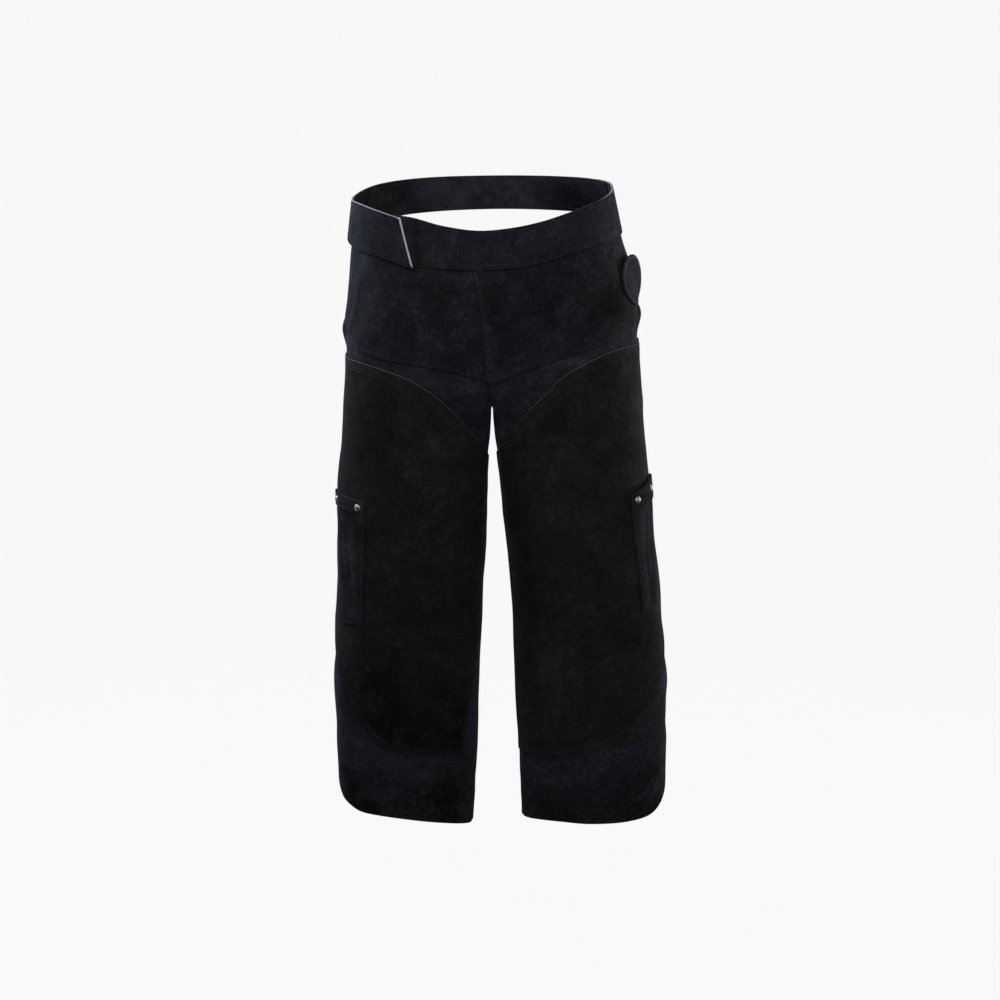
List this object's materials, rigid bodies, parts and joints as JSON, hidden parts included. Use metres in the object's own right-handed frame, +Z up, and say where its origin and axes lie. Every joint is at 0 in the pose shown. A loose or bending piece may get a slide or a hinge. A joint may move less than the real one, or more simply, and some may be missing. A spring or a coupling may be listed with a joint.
{
  "type": "blacksmith apron",
  "caption": "Split-leather smith's apron shaped as worn: a waist belt, a hip panel and a panel down the front of each leg, with wear patches and slim side pockets.",
  "frame": {"origin": "centre of the waist loop, level with the middle of the belt", "axes": "+Z up the wearer, -Y forward, +X to the wearer's left"},
  "size_m": [0.4684, 0.2498, 0.8981],
  "materials": {
    "navy_suede": "very dark navy split suede, matt, mottled",
    "brown_suede": "near-black brown split suede, matt, mottled",
    "rivet_steel": "bright silver cap"
  },
  "bodies": {
    "root": {"waistband": "navy_suede", "belt_strap": "navy_suede", "hip_panel_left": "navy_suede", "hip_panel_right": "navy_suede", "leg_panel_left": "navy_suede", "leg_panel_right": "navy_suede", "thigh_patch_left": "brown_suede", "thigh_patch_right": "brown_suede", "pocket_left": "navy_suede", "pocket_right": "navy_suede", "rivet_left_front": "rivet_steel", "rivet_left_rear": "rivet_steel", "rivet_right_front": "rivet_steel", "rivet_right_rear": "rivet_steel", "hip_badge": "navy_suede"}
  },
  "joints": []
}
